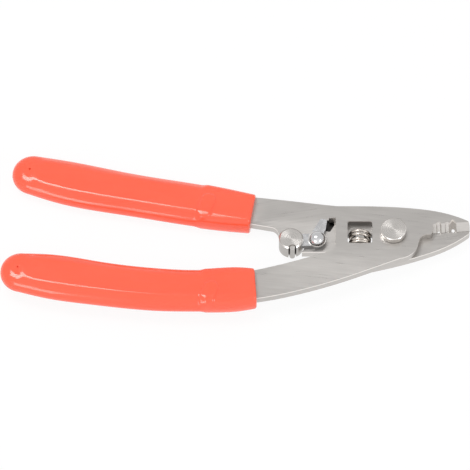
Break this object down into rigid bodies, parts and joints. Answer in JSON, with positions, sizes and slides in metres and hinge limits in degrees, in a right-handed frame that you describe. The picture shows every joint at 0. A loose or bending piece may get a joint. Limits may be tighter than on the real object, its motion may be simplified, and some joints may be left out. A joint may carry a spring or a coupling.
{
  "type": "fibre stripper",
  "caption": "Pliers-type fibre optic stripper: notched stainless jaws on a rivet, coil spring in a window, thumb latch and soft handle grips.",
  "frame": {"origin": "centre of the bounding box at its lowest face, which is the underside of the back lever's grip", "axes": "+X towards the jaws along the longest side, +Y towards the back lever's handle, +Z out of the side with the rivet heads; the levers are flat in XY and turn about Z"},
  "size_m": [0.1652, 0.0655, 0.0115],
  "materials": {
    "steel": "satin stamped stainless steel, finely ground along the plate",
    "turned_steel": "turned stainless steel with fine rings on the end faces",
    "polished_steel": "bright polished steel",
    "spring_wire": "drawn spring wire",
    "vinyl": "glossy orange-red vinyl"
  },
  "bodies": {
    "back": {"back_lever": "steel", "back_grip": "vinyl", "pivot_rivet": "turned_steel", "pivot_washer": "turned_steel", "latch_rivet": "polished_steel", "return_spring": "spring_wire"},
    "front": {"front_lever": "steel", "front_grip": "vinyl"},
    "latch": {"latch_plate": "polished_steel", "latch_knob": "turned_steel", "latch_washer": "polished_steel"}
  },
  "joints": [
    {"name": "handle_pivot", "type": "hinge", "parent": "back", "child": "front", "pos_m": [0.05567, -0.00136, 0.0087], "axis": [0, 0, 1], "range_deg": [-2.5, 17], "stiffness_Nm_per_rad": 1.1, "springref_deg": 21.77, "deforming": ["return_spring"]},
    {"name": "latch_pivot", "type": "hinge", "parent": "back", "child": "latch", "pos_m": [0.02884, -0.00351, 0.0066], "axis": [0, 0, 1], "range_deg": [0, 6]}
  ]
}
